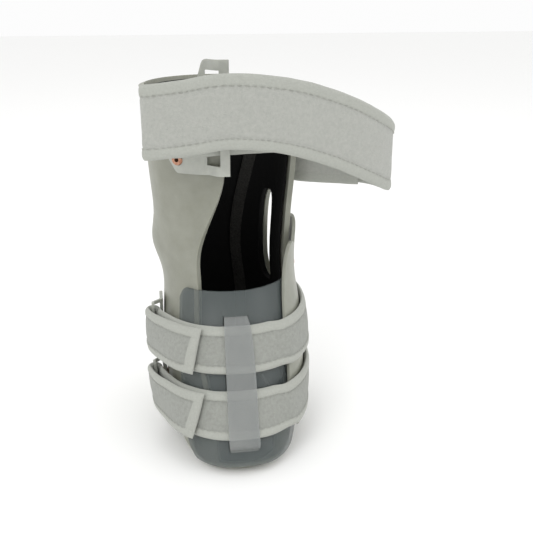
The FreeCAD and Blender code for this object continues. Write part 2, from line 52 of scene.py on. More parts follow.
# ---------------------------------------------------------------- boot surface

# Height, half width, back, front, middle and squareness of the section.
LEVELS = [
    (0, 25, 31, -75, 2, 2.6), (5, 31, 37, -80, 2, 2.6), (29, 36, 41, -66, 2, 2.4),
    (59, 37, 41, -51.5, 2, 2.3), (86, 35, 40, -38.5, 1, 2.1),
    (115, 37, 38.5, -36.5, 0, 2.0), (150, 40, 39, -37, 0, 2.0), (212, 42, 40, -38, 0, 2.0),
]
RELIEF_ANGLE, RELIEF_LEVEL, RELIEF_HEIGHT, RELIEF_REACH = -95, 103, 4, 13
SHELL_THICK, SHELL_TOP, FOAM_THICK, LAYER_GAP = 3.0, 189.0, 3.6, 0.4


def between(start, end, fraction):
    return start + (end - start) * fraction


def soft_step(low, high, value):
    """0 below low, 1 above high, smooth between."""
    f = min(max((value - low) / (high - low), 0), 1)
    return f * f * (3 - 2 * f)


def stops(count):
    return [i / (count - 1) for i in range(count)]


def section(height):
    """Sizes of the boot's section at a height, on a smooth curve through the levels."""
    last = len(LEVELS) - 1
    i = 0
    while i < last - 1 and height > LEVELS[i + 1][0]:
        i += 1
    low, high = LEVELS[i], LEVELS[i + 1]
    before, after = LEVELS[max(i - 1, 0)], LEVELS[min(i + 2, last)]
    step = high[0] - low[0]
    f = (height - low[0]) / step
    sizes = []
    for k in range(1, len(low)):
        slope_low = (high[k] - before[k]) / (high[0] - before[0]) * step
        slope_high = (after[k] - low[k]) / (after[0] - low[0]) * step
        sizes.append(low[k] * (1 + 2 * f) * (1 - f) ** 2 + slope_low * f * (1 - f) ** 2
                     + high[k] * f * f * (3 - 2 * f) + slope_high * f * f * (f - 1))
    return sizes


SECTION_STEP = 0.5
SECTIONS = [section(i * SECTION_STEP) for i in range(int(LEVELS[-1][0] / SECTION_STEP) + 1)]


def bare_point(angle, height):
    place = min(max(height / SECTION_STEP, 0), len(SECTIONS) - 1.001)
    i = int(place)
    half, back, front, middle, square = [
        between(a, b, place - i) for a, b in zip(SECTIONS[i], SECTIONS[i + 1])]
    turn = math.radians(angle)
    power = 2 / square
    across = math.copysign(abs(math.sin(turn)) ** power, math.sin(turn))
    ahead = math.copysign(abs(math.cos(turn)) ** power, math.cos(turn))
    return Vector((middle + half * across,
                   (back + front) / 2 - (back - front) / 2 * ahead, height))


def round_way(angle, height):
    return (bare_point(angle + 1.5, height) - bare_point(angle - 1.5, height)).normalized()


def level_outward(angle, height):
    return round_way(angle, height).cross(Vector((0, 0, 1)))


RELIEF_POINT = bare_point(RELIEF_ANGLE, RELIEF_LEVEL)


def boot_point(angle, height, offset):
    """Point at a level distance outside the plastic's outer face."""
    bare = bare_point(angle, height)
    away = (bare - RELIEF_POINT).length / RELIEF_REACH
    return bare + level_outward(angle, height) * (offset + RELIEF_HEIGHT * math.exp(-away * away))


def left_trim(height):
    """Front edge of the left wall."""
    return between(-28, -3, soft_step(96, 150, height)) + 10 * soft_step(70, 20, height)


def right_trim(height):
    """Front edge of the right wall."""
    return between(30, 82, soft_step(18, 70, height))


def stripe(height):
    """Where the two foam panels meet on the back wall."""
    return between(167, 144, soft_step(86, 175, height))


# ---------------------------------------------------------------- mesh helpers

def piece_of(name, points, faces, materials, face_slots=None, smooth=True):
    """Mesh object from points in millimetres."""
    mesh = bpy.data.meshes.new(name)
    mesh.from_pydata([p * MM for p in points], [], faces)
    for material in materials:
        mesh.materials.append(material)
    if face_slots:
        for polygon, slot in zip(mesh.polygons, face_slots):
            polygon.material_index = slot
    mesh.validate()
    piece = bpy.data.objects.new(name, mesh)
    bpy.context.scene.collection.objects.link(piece)
    for polygon in mesh.polygons:
        polygon.use_smooth = smooth
    return piece


def modifier(piece, kind, **settings):
    added = piece.modifiers.new(kind.lower(), kind)
    for key, value in settings.items():
        setattr(added, key, value)
    return added


def slab(name, grid, inner_grid, material, keep=None):
    """Closed plate between an outer and an inner grid of points, with some cells left out."""
    rows, columns = len(grid), len(grid[0])
    points = [p for row in grid for p in row] + [p for row in inner_grid for p in row]
    under = rows * columns
    cells = {(i, j) for i in range(rows - 1) for j in range(columns - 1)
             if keep is None or keep(i, j)}
    faces = []
    for i, j in sorted(cells):
        a, b = i * columns + j, i * columns + j + 1
        c, d = b + columns, a + columns
        faces.append((a, b, c, d))
        faces.append((d + under, c + under, b + under, a + under))
        sides = [((i, j - 1), a, d), ((i, j + 1), c, b), ((i - 1, j), b, a), ((i + 1, j), d, c)]
        for neighbour, start, end in sides:
            if neighbour not in cells:
                faces.append((start, end, end + under, start + under))
    used = sorted({k for face in faces for k in face})
    renumber = {old: new for new, old in enumerate(used)}
    faces = [tuple(renumber[k] for k in face) for face in faces]
    return piece_of(name, [points[k] for k in used], faces, [material])


def ring_faces(low_ring, high_ring):
    """Faces between two closed rings of point numbers."""
    count = len(low_ring)
    return [(low_ring[i], low_ring[(i + 1) % count], high_ring[(i + 1) % count], high_ring[i])
            for i in range(count)]


def soften(piece, width, levels=1):
    """Rounded edges and a smooth surface."""
    modifier(piece, "BEVEL", width=width * MM, segments=3, limit_method="ANGLE",
             angle_limit=math.radians(40))
    modifier(piece, "SUBSURF", levels=levels, render_levels=levels)


def settle(piece, body, nodes=()):
    """Says what body a piece moves with and the CAD nodes that it stands for."""
    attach(piece, body)
    if nodes:
        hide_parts(*nodes)
    return piece


# ---------------------------------------------------------------- materials

def colour(hex_value):
    """Linear colour of an sRGB hex value."""
    channels = [int(hex_value[i:i + 2], 16) / 255 for i in (0, 2, 4)]
    return [c / 12.92 if c <= 0.04045 else ((c + 0.055) / 1.055) ** 2.4
            for c in channels] + [1.0]


def node(tree, kind, settings=None, inputs=None):
    """Adds a node; an input is a value, or the output socket that feeds it."""
    made = tree.nodes.new(kind)
    for key, value in (settings or {}).items():
        setattr(made, key, value)
    for key, value in (inputs or {}).items():
        if isinstance(value, bpy.types.NodeSocket):
            tree.links.new(value, made.inputs[key])
        else:
            made.inputs[key].default_value = value
    return made


def surface(name, dark, light, pattern_mm, bump_mm, constants, detail=6.0, bump_pattern_mm=None):
    """A finish whose colour wanders between two tones and whose relief is a fine noise."""
    material = bpy.data.materials.new(name)
    material.use_nodes = True
    tree = material.node_tree
    shader = tree.nodes["Principled BSDF"]
    for key, value in constants.items():
        shader.inputs[key].default_value = value
    place = node(tree, "ShaderNodeTexCoord").outputs["Object"]
    tone = node(tree, "ShaderNodeTexNoise", None, {
        "Vector": place, "Scale": 1 / (pattern_mm * MM), "Detail": detail, "Roughness": 0.6})
    ramp = node(tree, "ShaderNodeValToRGB", None, {"Fac": tone.outputs["Fac"]})
    ramp.color_ramp.elements[0].position = 0.3
    ramp.color_ramp.elements[1].position = 0.7
    ramp.color_ramp.elements[0].color = colour(dark)
    ramp.color_ramp.elements[1].color = colour(light)
    tree.links.new(ramp.outputs["Color"], shader.inputs["Base Color"])
    grain = node(tree, "ShaderNodeTexNoise", None, {
        "Vector": place, "Scale": 1 / ((bump_pattern_mm or pattern_mm) * MM), "Detail": detail,
        "Roughness": 0.65})
    relief = node(tree, "ShaderNodeBump", None, {
        "Strength": 1.0, "Distance": bump_mm * MM, "Height": grain.outputs["Fac"]})
    tree.links.new(relief.outputs["Normal"], shader.inputs["Normal"])
    return material


# Thermoformed polypropylene: milky and waxy, soft broad highlights, faint drape marks.
POLYPROPYLENE = surface("thermoformed_polypropylene", "828377", "8F9085", 14, 0.25, {
    "Roughness": 0.42, "IOR": 1.49, "Subsurface Weight": 0.15,
    "Subsurface Radius": (0.004, 0.004, 0.003), "Subsurface Scale": 1.0})
# Cut polyethylene sheet of the side flap: a little whiter and flatter.
FLAP_SHEET = surface("cut_polyethylene_sheet", "888A7F", "95968B", 10, 0.15, {
    "Roughness": 0.38, "IOR": 1.51, "Subsurface Weight": 0.1,
    "Subsurface Radius": (0.003, 0.003, 0.002), "Subsurface Scale": 1.0})
# Blown polyethylene sheet of the tongue: hazy, so what lies behind it shows dimly.
TONGUE_SHEET = surface("hazy_polyethylene_sheet", "5C6464", "666D6C", 18, 0.12, {
    "Roughness": 0.3, "IOR": 1.51, "Alpha": 0.48})
# The keeper strip is cut from the same hazy sheet as the tongue. Its lighter colour is painted light,
# because it stands out over the straps and catches the light directly.
LIT_KEEPER_SHEET = surface("lit_hazy_polyethylene_strip", "989C9B", "A2A5A3", 12, 0.12, {
    "Roughness": 0.3, "IOR": 1.51, "Alpha": 0.42})
# Closed-cell foam: deep black skin with a matt, faintly pebbled face.
FOAM = surface("closed_cell_foam", "050505", "0B0B0B", 1.2, 0.12, {
    "Roughness": 0.85, "IOR": 1.45, "Specular IOR Level": 0.25})
# The same foam ground to a bevel: open cells catch a grey grain.
GROUND_FOAM = surface("ground_foam_edge", "161615", "3C3B38", 0.7, 0.5, {
    "Roughness": 0.95, "IOR": 1.45, "Specular IOR Level": 0.3})
# Brushed loop fabric: raised nylon nap that softens every edge with a pale sheen.
LOOP_FABRIC = surface("brushed_loop_fabric", "A5A7A1", "B1B2AC", 1.6, 0.55, {
    "Roughness": 0.95, "IOR": 1.5, "Sheen Weight": 0.35, "Sheen Roughness": 0.5,
    "Specular IOR Level": 0.15}, 8.0, 0.55)
# The same nap on the foot straps. Its darker colour is painted shade: these straps sit lower and get
# less light from above.
SHADED_LOOP_FABRIC = surface("shaded_loop_fabric", "92948E", "A1A39D", 1.6, 0.6, {
    "Roughness": 0.95, "IOR": 1.5, "Sheen Weight": 0.25, "Sheen Roughness": 0.5,
    "Specular IOR Level": 0.15}, 8.0, 0.55)
# Knitted binding tape: finer and lighter than the nap that it edges.
BINDING_TAPE = surface("knitted_binding_tape", "A4A69F", "AEB0A9", 1.0, 0.3, {
    "Roughness": 0.85, "IOR": 1.5, "Sheen Weight": 0.25, "Sheen Roughness": 0.4,
    "Specular IOR Level": 0.2}, 8.0, 0.4)
# Bonded polyester thread.
THREAD = surface("bonded_polyester_thread", "8A8B84", "A5A69F", 0.8, 0.05, {
    "Roughness": 0.55, "IOR": 1.53})
# Moulded nylon, undyed: cloudy, with a low gloss.
NATURAL_NYLON = surface("moulded_natural_nylon", "A3A59E", "B2B4AC", 6, 0.06, {
    "Roughness": 0.35, "IOR": 1.53, "Subsurface Weight": 0.1,
    "Subsurface Radius": (0.002, 0.002, 0.0015), "Subsurface Scale": 1.0})
# Woven hook tape: coarse little hooks, beige against the white.
HOOK_TAPE = surface("woven_hook_tape", "6E6A55", "8E8A72", 0.9, 0.6, {
    "Roughness": 0.8, "IOR": 1.53})
# Copper-plated steel, tumbled: rosy metal with dulled edges.
COPPER_PLATE = surface("copper_plated_steel", "9A6A55", "C39A83", 1.5, 0.02, {
    "Metallic": 1.0, "Roughness": 0.3})


# ---------------------------------------------------------------- shell

LIP_HEIGHT = 6.0        # the low rim that runs round the toes
WALL_COLUMNS, FRONT_COLUMNS = 110, 24
SOLE_RINGS = (0.86, 0.6, 0.3, 0.06)
MM_PER_DEGREE = 0.62    # round the leg at the height of the trims
SIDE_LIP, SIDE_LIP_REACH, TOP_LIP, TOP_LIP_REACH = 1.3, 2.6, 1.5, 3


def flare(angle, height):
    """The rolled lip: the plastic turns out a little along its cut edges."""
    lip = 0
    for edge in (left_trim(height), right_trim(height) - 360):
        away = abs(angle - edge) * MM_PER_DEGREE
        lip = max(lip, SIDE_LIP * math.exp(-(away / SIDE_LIP_REACH) ** 2))
    lip *= soft_step(16, 40, height)
    return max(lip, TOP_LIP * math.exp(-((SHELL_TOP - height) / TOP_LIP_REACH) ** 2))


def make_shell():
    """Formed plastic: sole, toe lip and wall in one skin, with the window cut through."""
    heights = [0, 0.8, 1.8, 3, 4.5, LIP_HEIGHT] + [between(9, SHELL_TOP, i / 62) for i in range(63)]
    lip_row = 5
    points, rows = [], []
    for height in heights:
        row = []
        for s in stops(WALL_COLUMNS + 1):
            angle = between(left_trim(height), right_trim(height) - 360, s)
            row.append(len(points))
            points.append(boot_point(angle, height, flare(angle, height)))
        if height <= LIP_HEIGHT:
            for k in range(1, FRONT_COLUMNS):
                angle = between(right_trim(height), left_trim(height), k / FRONT_COLUMNS)
                row.append(len(points))
                points.append(boot_point(angle, height, 0))
        rows.append(row)
    faces = []
    for i, (low, high) in enumerate(zip(rows, rows[1:])):
        for j in range(WALL_COLUMNS):
            faces.append((low[j], high[j], high[j + 1], low[j + 1]))
        if i < lip_row:
            for j in range(WALL_COLUMNS, len(low)):
                k = (j + 1) % len(low)
                faces.append((low[j], high[j], high[k], low[k]))
    outline = rows[0]
    middle_x = sum(points[k].x for k in outline) / len(outline)
    for share in SOLE_RINGS:
        ring = []
        for k in rows[0]:
            rim = points[k]
            spine = Vector((middle_x, min(max(rim.y, -50), 6), 0))
            ring.append(len(points))
            points.append(spine + (rim - spine) * share)
        for j in range(len(ring)):
            k = (j + 1) % len(ring)
            faces.append((outline[j], outline[k], ring[k], ring[j]))
        outline = ring
    faces.append(tuple(outline))
    shell = piece_of("shell_skin", points, faces, [POLYPROPYLENE])
    modifier(shell, "SOLIDIFY", thickness=SHELL_THICK * MM, offset=-1, use_even_offset=False)
    cut_window(shell)
    soften(shell, 0.9)
    return settle(shell, "root", ["shell"])


WINDOW_LOW, WINDOW_HIGH, WINDOW_FORE, WINDOW_REAR = 72, 127, 105, 127


def window_prism(name, margin, deep, proud):
    """Long round-ended prism through the right wall, for cutting."""
    low, high = WINDOW_LOW + margin, WINDOW_HIGH - margin
    middle, half = (WINDOW_FORE + WINDOW_REAR) / 2, (WINDOW_REAR - WINDOW_FORE) / 2 - margin * 1.5
    ring = []
    turns = 28
    for i in range(turns):
        turn = 2 * math.pi * i / turns
        reach = abs(math.sin(turn)) ** 0.45
        height = (low + high) / 2 + (high - low) / 2 * math.copysign(reach, math.sin(turn))
        across = math.copysign(abs(math.cos(turn)) ** 0.6, math.cos(turn))
        ring.append((middle + half * across, height))
    points = [boot_point(a, h, offset) for offset in (deep, proud) for a, h in ring]
    faces = [tuple(range(turns))[::-1], tuple(range(turns, 2 * turns))]
    for i in range(turns):
        k = (i + 1) % turns
        faces.append((i, k, k + turns, i + turns))
    return piece_of(name, points, faces, [])


def cut_window(piece, margin=0.0):
    cutter = window_prism("window_cutter", margin, -12, 9)
    modifier(piece, "BOOLEAN", operation="DIFFERENCE", object=cutter, solver="EXACT")
    bake(piece)
    bpy.data.objects.remove(cutter)


def bake(piece):
    """Applies the modifiers to the mesh."""
    view_layer = bpy.context.view_layer
    view_layer.update()
    solid = bpy.data.meshes.new_from_object(piece.evaluated_get(view_layer.depsgraph))
    piece.modifiers.clear()
    piece.data = solid


# ---------------------------------------------------------------- foam

def make_lining(name, start, end, slot_node, window=False):
    """Foam panel; its edges are ground thin."""
    rows, columns = 60, 60
    outer, inner = [], []
    for t in stops(rows):
        height = between(9, SHELL_TOP - 1, t)
        outer_row, inner_row = [], []
        for s in stops(columns):
            angle = between(start(height), end(height), s)
            away = min(s, 1 - s) * abs(end(height) - start(height)) * 0.6
            top = SHELL_TOP - 1 - height
            thick = FOAM_THICK * min(math.sqrt(soft_step(-1, 5, away)),
                                     math.sqrt(soft_step(-0.6, 4, top)))
            outer_row.append(boot_point(angle, height, -SHELL_THICK - LAYER_GAP))
            inner_row.append(boot_point(angle, height, -SHELL_THICK - LAYER_GAP - thick))
        outer.append(outer_row)
        inner.append(inner_row)
    lining = slab(name, outer, inner, FOAM)
    if window:
        cut_window(lining, -0.4)
    else:
        bake(lining)
    lining.data.shade_smooth()
    modifier(lining, "BEVEL", width=0.4 * MM, segments=2, limit_method="ANGLE",
             angle_limit=math.radians(50))
    return settle(lining, "root", [slot_node])


def make_ground_edge():
    """Ground band along the foam's joint, about 8 mm wide, where the grain shows grey."""
    skin = -SHELL_THICK - LAYER_GAP - FOAM_THICK
    outer, inner = [], []
    for t in stops(90):
        height = between(11, SHELL_TOP - 4, t)
        outer_row, inner_row = [], []
        for s in stops(11):
            angle = stripe(height) + 1.5 - 14 * (1 - s)
            grain = 0.12 * noise.noise(Vector((angle, height, 0)) * 0.9)
            edge = min(s, 1 - s, 0.15) / 0.15
            outer_row.append(boot_point(angle, height, skin + 0.25))
            inner_row.append(boot_point(angle, height, skin - 0.02 - (0.16 + grain) * edge))
        outer.append(outer_row)
        inner.append(inner_row)
    edge_band = slab("lining_ground_edge", outer, inner, GROUND_FOAM)
    return settle(edge_band, "root")


def make_foot_pad():
    """Foam pad on the sole, crowned under the arch and thin at its rim."""
    low = SHELL_THICK + LAYER_GAP
    thick = FOAM_THICK
    points, rings = [], []
    turns = 64
    middle_x = 2
    profile = [(0.94, 0.0), (1.0, 0.15), (1.0, 0.7), (0.96, 0.95), (0.85, 1.0), (0.6, 1.0),
               (0.35, 1.02), (0.1, 1.02)]
    for share, lift in profile:
        ring = []
        for i in range(turns):
            rim = boot_point(360 * i / turns, low, -SHELL_THICK - 3.2 * LAYER_GAP)
            spine = Vector((middle_x, min(max(rim.y, -46), 4), 0))
            flat = spine + (Vector((rim.x, rim.y, 0)) - spine) * share
            ring.append(len(points))
            points.append(Vector((flat.x, flat.y, low + thick * lift)))
        rings.append(ring)
    faces = [tuple(rings[0])[::-1], tuple(rings[-1])]
    for low_ring, high_ring in zip(rings, rings[1:]):
        faces += ring_faces(low_ring, high_ring)
    pad = piece_of("foot_pad_foam", points, faces, [FOAM])
    modifier(pad, "SUBSURF", levels=1, render_levels=1)
    return settle(pad, "root", ["foot_pad"])


# ---------------------------------------------------------------- flap and tongue

TONGUE_LOW, TONGUE_HIGH = LAYER_GAP, LAYER_GAP + 1.5
FLAP_LOW = TONGUE_HIGH + 2 * LAYER_GAP
FLAP_HIGH = FLAP_LOW + 2
BAND_LOW = TONGUE_HIGH + 2 * LAYER_GAP
STRAP_THICK = 2.6


def dome(value, centre, reach, rise):
    return rise * math.sqrt(max(0, 1 - ((value - centre) / reach) ** 2))


def make_side_flap():
    """Cut sheet with a low front ear and a high rear one."""
    fore, rear, shoulder, lowest = 39, 126, 82, 14
    outer, inner = [], []
    for s in stops(64):
        angle = between(fore, rear, s)
        top = shoulder + max(dome(angle, 55, 17, 23), dome(angle, 92, 35, 32))
        bottom = lowest + 15 * (1 - soft_step(fore, fore + 14, angle))
        outer_row, inner_row = [], []
        for t in stops(40):
            height = between(bottom, top, t)
            lean = angle + 11 * (1 - s) * soft_step(60, 95, height)
            outer_row.append(boot_point(lean, height, FLAP_HIGH))
            inner_row.append(boot_point(lean, height, FLAP_LOW))
        outer.append(outer_row)
        inner.append(inner_row)
    flap = slab("side_flap_sheet", outer, inner, FLAP_SHEET)
    soften(flap, 0.5)
    return settle(flap, "root", ["side_flap"])


KEEPER_LEFT, KEEPER_RIGHT, SLIT_LOW, SLIT_HIGH = -7, 9, 12, 75


def tongue_lift(height):
    """How far the strip between the slits rises to pass over the straps, 0 to 1."""
    rise = soft_step(SLIT_LOW - 1, SLIT_LOW + 5, height)
    return rise * soft_step(SLIT_HIGH + 1, SLIT_HIGH - 5, height)


def make_tongue():
    """Sheet over the instep, in two meshes: the sheet, and the raised strip."""
    low, high, left, right = 5, 86, -47, 60
    over_straps = BAND_LOW + STRAP_THICK + LAYER_GAP
    slit = 0.7
    side_left = [between(left, KEEPER_LEFT - slit, s) for s in stops(22)]
    strip = [between(KEEPER_LEFT, KEEPER_RIGHT, s) for s in stops(10)]
    side_right = [between(KEEPER_RIGHT + slit, right, s) for s in stops(26)]
    angles = side_left + strip + side_right
    first, last = len(side_left), len(side_left) + len(strip) - 1
    heights = [between(low, high, t) for t in stops(70)]

    def plate(extra):
        rows = []
        for height in heights:
            row = []
            for j, angle in enumerate(angles):
                lift = tongue_lift(height) if first <= j <= last else 0
                corner = 6 * (1 - math.sqrt(soft_step(0, 7, angle - left)))
                level = height - corner * soft_step(60, 86, height)
                level += corner * soft_step(25, 5, height)
                wave = 0.12 * noise.noise(Vector((angle, height, 3)) * 0.09)
                offset = between(TONGUE_LOW + extra, over_straps + extra, lift) + wave * lift
                row.append(boot_point(angle, level, offset))
            rows.append(row)
        return rows

    def in_sheet(i, j):
        slit_row = SLIT_LOW < heights[i] and heights[i + 1] < SLIT_HIGH
        return not (slit_row and first - 1 <= j <= last)

    def in_strip(i, j):
        slit_row = SLIT_LOW < heights[i] and heights[i + 1] < SLIT_HIGH
        return slit_row and first <= j < last

    thick = TONGUE_HIGH - TONGUE_LOW
    # The keeper strip's lighter finish is painted light on the same sheet.
    for name, keep, finish in (("tongue_sheet", in_sheet, TONGUE_SHEET),
                               ("tongue_keeper_strip", in_strip, LIT_KEEPER_SHEET)):
        piece = slab(name, plate(thick), plate(0), finish, keep)
        soften(piece, 0.3)
        settle(piece, "root", ["tongue"])


# ---------------------------------------------------------------- straps

TAPE_RISE, CROWN = 0.3, 0.25            # of the tape over the nap, and of the strap's middle
SEAM_DEPTH, SEAM_REACH = 0.4, 0.6       # of the groove that the stitches draw in
FAR_OFF = 99                            # the distance that stands for an end with no tape


class Binding:
    """How a padded strap is edged: tape width and where its line of stitches runs."""

    def __init__(self, half_width, tape, stitch_length):
        self.half_width, self.tape, self.stitch_length = half_width, tape, stitch_length


def strap_profile(binding, thick):
    """Closed outline across a strap: (across, outward, on tape), in millimetres."""
    half, tape = binding.half_width, binding.tape
    seam = tape / half
    shares = [0, 0.2, 0.4, 0.56, 1 - seam - 0.06, 1 - seam - 0.02, 1 - seam + 0.02,
              1 - seam + 0.07, 1 - 0.4 * seam, 1 - 0.18 * seam, 1 - 0.06 * seam, 1]
    side = []
    for share in shares:
        rim = soft_step(1, 1 - 0.75 * thick / half, share)
        depth = thick / 2 * math.sqrt(max(rim, 0))
        on_tape = share > 1 - seam
        groove = SEAM_DEPTH * math.exp(-((share - (1 - seam)) * half / SEAM_REACH) ** 2)
        rise = TAPE_RISE * soft_step(1 - seam, 1 - seam + 0.05, share) * rim
        rise += CROWN * (1 - (share / (1 - seam)) ** 2) if not on_tape else 0
        side.append((share * half, max(depth + rise - groove * rim, 0), on_tape))
    left = [(-w, n, tape_here) for w, n, tape_here in reversed(side[1:])]
    outer = left + side
    inner = [(w, -n * 0.9, tape_here) for w, n, tape_here in reversed(outer[1:-1])]
    return outer + inner


def to_tape(distance, total, bound_ends):
    """How far a place along a strap is from the nearest end that has tape."""
    return min(distance if bound_ends[0] else FAR_OFF, total - distance if bound_ends[1] else FAR_OFF)


def make_strap(name, stations, binding, thick, finishes, bound_ends):
    """Padded strap along stations; station(across, outward) gives a point."""
    profile = strap_profile(binding, thick)
    width = len(profile)
    lengths = [0.0]
    for near, far in zip(stations, stations[1:]):
        lengths.append(lengths[-1] + (far(0, 0) - near(0, 0)).length)
    total = lengths[-1]
    points, slots, faces = [], [], []
    count = len(stations)
    for i, station in enumerate(stations):
        near_end = to_tape(lengths[i], total, bound_ends)
        edge = min(lengths[i], total - lengths[i])
        squeeze = math.sqrt(soft_step(-0.35, 1.3, edge))
        end_tape = near_end < binding.tape
        groove = SEAM_DEPTH * math.exp(-((near_end - binding.tape) / SEAM_REACH) ** 2)
        for across, outward, on_tape in profile:
            level = outward
            if not on_tape:
                level -= math.copysign(min(groove, abs(outward)), outward) if outward else 0
                level += math.copysign(TAPE_RISE, outward) if end_tape and outward else 0
            here = station(across, 0)
            nap = 0.16 if not (on_tape or end_tape) else 0.07
            rough = nap * noise.noise(here * 0.8) + 0.18 * noise.noise(here * 0.13)
            waver = 0.22 * noise.noise(here * 0.16 + Vector((7, 1, 4)))
            points.append(station(across * (1 + waver / binding.half_width * 0.6),
                                  level * squeeze + rough * squeeze))
    for i in range(count - 1):
        near_end = to_tape((lengths[i] + lengths[i + 1]) / 2, total, bound_ends)
        for j in range(width):
            k = (j + 1) % width
            a, b = i * width + j, i * width + k
            faces.append((a, b, b + width, a + width))
            on_tape = profile[j][2] and profile[k][2] or near_end < binding.tape
            slots.append(1 if on_tape else 0)
    half_ring = width // 2
    for base, flip in ((0, False), ((count - 1) * width, True)):
        for j in range(half_ring):
            a, b = base + j, base + j + 1
            c, d = base + (width - j - 1) % width, base + (width - j) % width
            corners = [a, d, c, b] if not flip else [a, b, c, d]
            corners = list(dict.fromkeys(corners))
            if len(corners) > 2:
                faces.append(tuple(corners))
                slots.append(1)
    strap = piece_of(name, points, faces, finishes, slots)
    modifier(strap, "SUBSURF", levels=1, render_levels=1)
    stitch_line(name + "_stitches", stations, lengths, binding, thick, bound_ends)
    return strap


STITCHES = {}


def stitch_line(name, stations, lengths, binding, thick, bound_ends):
    """Rows of thread dashes just inside the tape, as real little strands."""
    length, gap, radius = binding.stitch_length, binding.stitch_length * 0.45, 0.17
    points, faces = [], []
    start = binding.tape + 1 if bound_ends[0] else 1.5
    end = lengths[-1] - (binding.tape + 1 if bound_ends[1] else 1.5)

    def on_strap(distance, across, outward):
        i = max(k for k in range(len(lengths) - 1) if lengths[k] <= distance)
        f = (distance - lengths[i]) / max(lengths[i + 1] - lengths[i], 1e-6)
        return stations[i](across, outward).lerp(stations[i + 1](across, outward), f)

    for side in (-1, 1):
        across = side * (binding.half_width - binding.tape + 0.35)
        distance = start
        while distance + length < end:
            rings = []
            for step in range(5):
                f = step / 4
                lift = thick / 2 - 0.02 + 0.2 * math.sin(math.pi * f)
                size = radius * (0.35 + 0.65 * math.sin(math.pi * min(max(f, 0.08), 0.92)))
                centre = on_strap(distance + length * f, across, lift)
                out = (on_strap(distance + length * f, across, lift + 1) - centre).normalized()
                over = (on_strap(distance + length * f, across + 1, lift) - centre).normalized()
                ring = []
                for turn in range(6):
                    angle = math.pi * turn / 3
                    ring.append(len(points))
                    points.append(centre + (out * math.sin(angle) + over * math.cos(angle)) * size)
                rings.append(ring)
            faces += [tuple(rings[0])[::-1], tuple(rings[-1])]
            for low, high in zip(rings, rings[1:]):
                faces += ring_faces(low, high)
            distance += length + gap
    STITCHES[name] = piece_of(name, points, faces, [THREAD])


def upright_angle(angle, level, height):
    """Angle at another height that is straight above or below a point of a level strap."""
    start, along = bare_point(angle, level), round_way(angle, level)
    for _ in range(3):
        miss = (bare_point(angle, height) - start).dot(along)
        degree = (bare_point(angle + 0.5, height) - bare_point(angle - 0.5, height)).dot(along)
        angle -= miss / degree
    return angle


def slope_share(angle, level):
    """How upright the wall is there: its height gained per millimetre of strap width."""
    up_way = bare_point(angle, level + 1) - bare_point(angle, level - 1)
    return up_way.normalized().z


def boot_station(angle, level, middle):
    """A place on a strap that lies on the boot, its middle at an offset."""
    share = slope_share(angle, level)
    cache = {}

    def place(across, outward):
        if across not in cache:
            height = level + across * share
            cache[across] = (upright_angle(angle, level, height), height)
        square, height = cache[across]
        return boot_point(square, height, middle + outward)
    return place


BAR_ANGLE, ROOT_ANGLE, LEAF_TIP, STRAP_REAR = -77, -72, -25, 127
LOOP_RIVET_ANGLE, LOOP_BAR = -88.5, 1.5
FOLD_INSIDE = LOOP_BAR / 2 * math.sqrt(2) + 1.4 * LAYER_GAP
BAR_OFFSET = BAND_LOW + STRAP_THICK + FOLD_INSIDE
FOLD_MIDDLE = FOLD_INSIDE + STRAP_THICK / 2


def bar_centre(level, height):
    """Point at a height on the middle line of the straight bar of a foot loop."""
    up_way = bare_point(LOOP_RIVET_ANGLE, level + 1) - bare_point(LOOP_RIVET_ANGLE, level - 1)
    normal = round_way(LOOP_RIVET_ANGLE, level).cross(up_way).normalized()
    upright = normal.cross(Vector((0, 0, 1)).cross(normal)).normalized()
    return boot_point(BAR_ANGLE, level, BAR_OFFSET) + upright * ((height - level) / upright.z)


def lean_to_bar(angle, level, height):
    """How far a strap has moved off the boot's own lines to lie along the bar."""
    share = soft_step(BAR_ANGLE + 20, BAR_ANGLE, angle)
    if not share:
        return Vector((0, 0, 0))
    boot_line = boot_point(upright_angle(BAR_ANGLE, level, height), height, BAR_OFFSET)
    return (bar_centre(level, height) - boot_line) * share


def foot_station(angle, level, middle):
    """A place on a foot strap, which leans to its loop's bar as it comes near."""
    on_boot = boot_station(angle, level, middle)
    share = slope_share(angle, level)

    def place(across, outward):
        return on_boot(across, outward) + lean_to_bar(angle, level, level + across * share)
    return place


def fold_station(turn, level):
    """A place on the strap's fold round the loop's bar, turn degrees along it."""
    share = slope_share(BAR_ANGLE, level)
    back = round_way(BAR_ANGLE, level) * -math.sin(math.radians(turn))
    away = level_outward(BAR_ANGLE, level) * -math.cos(math.radians(turn))

    def place(across, outward):
        return bar_centre(level, level + across * share) + (back + away) * (FOLD_MIDDLE + outward)
    return place


PATCH_THICK, PATCH_GAP = 0.8, 0.15
PATCH_EDGES = (-1, -0.94, -0.5, 0, 0.5, 0.94, 1)
PATCH_HALF = 0.34       # half the tape's thickness under its hooks
HOOK_RINGS = ((0.30, 0.26), (0.42, 0.18), (0.50, 0.08))     # (depth, radius) of a hook


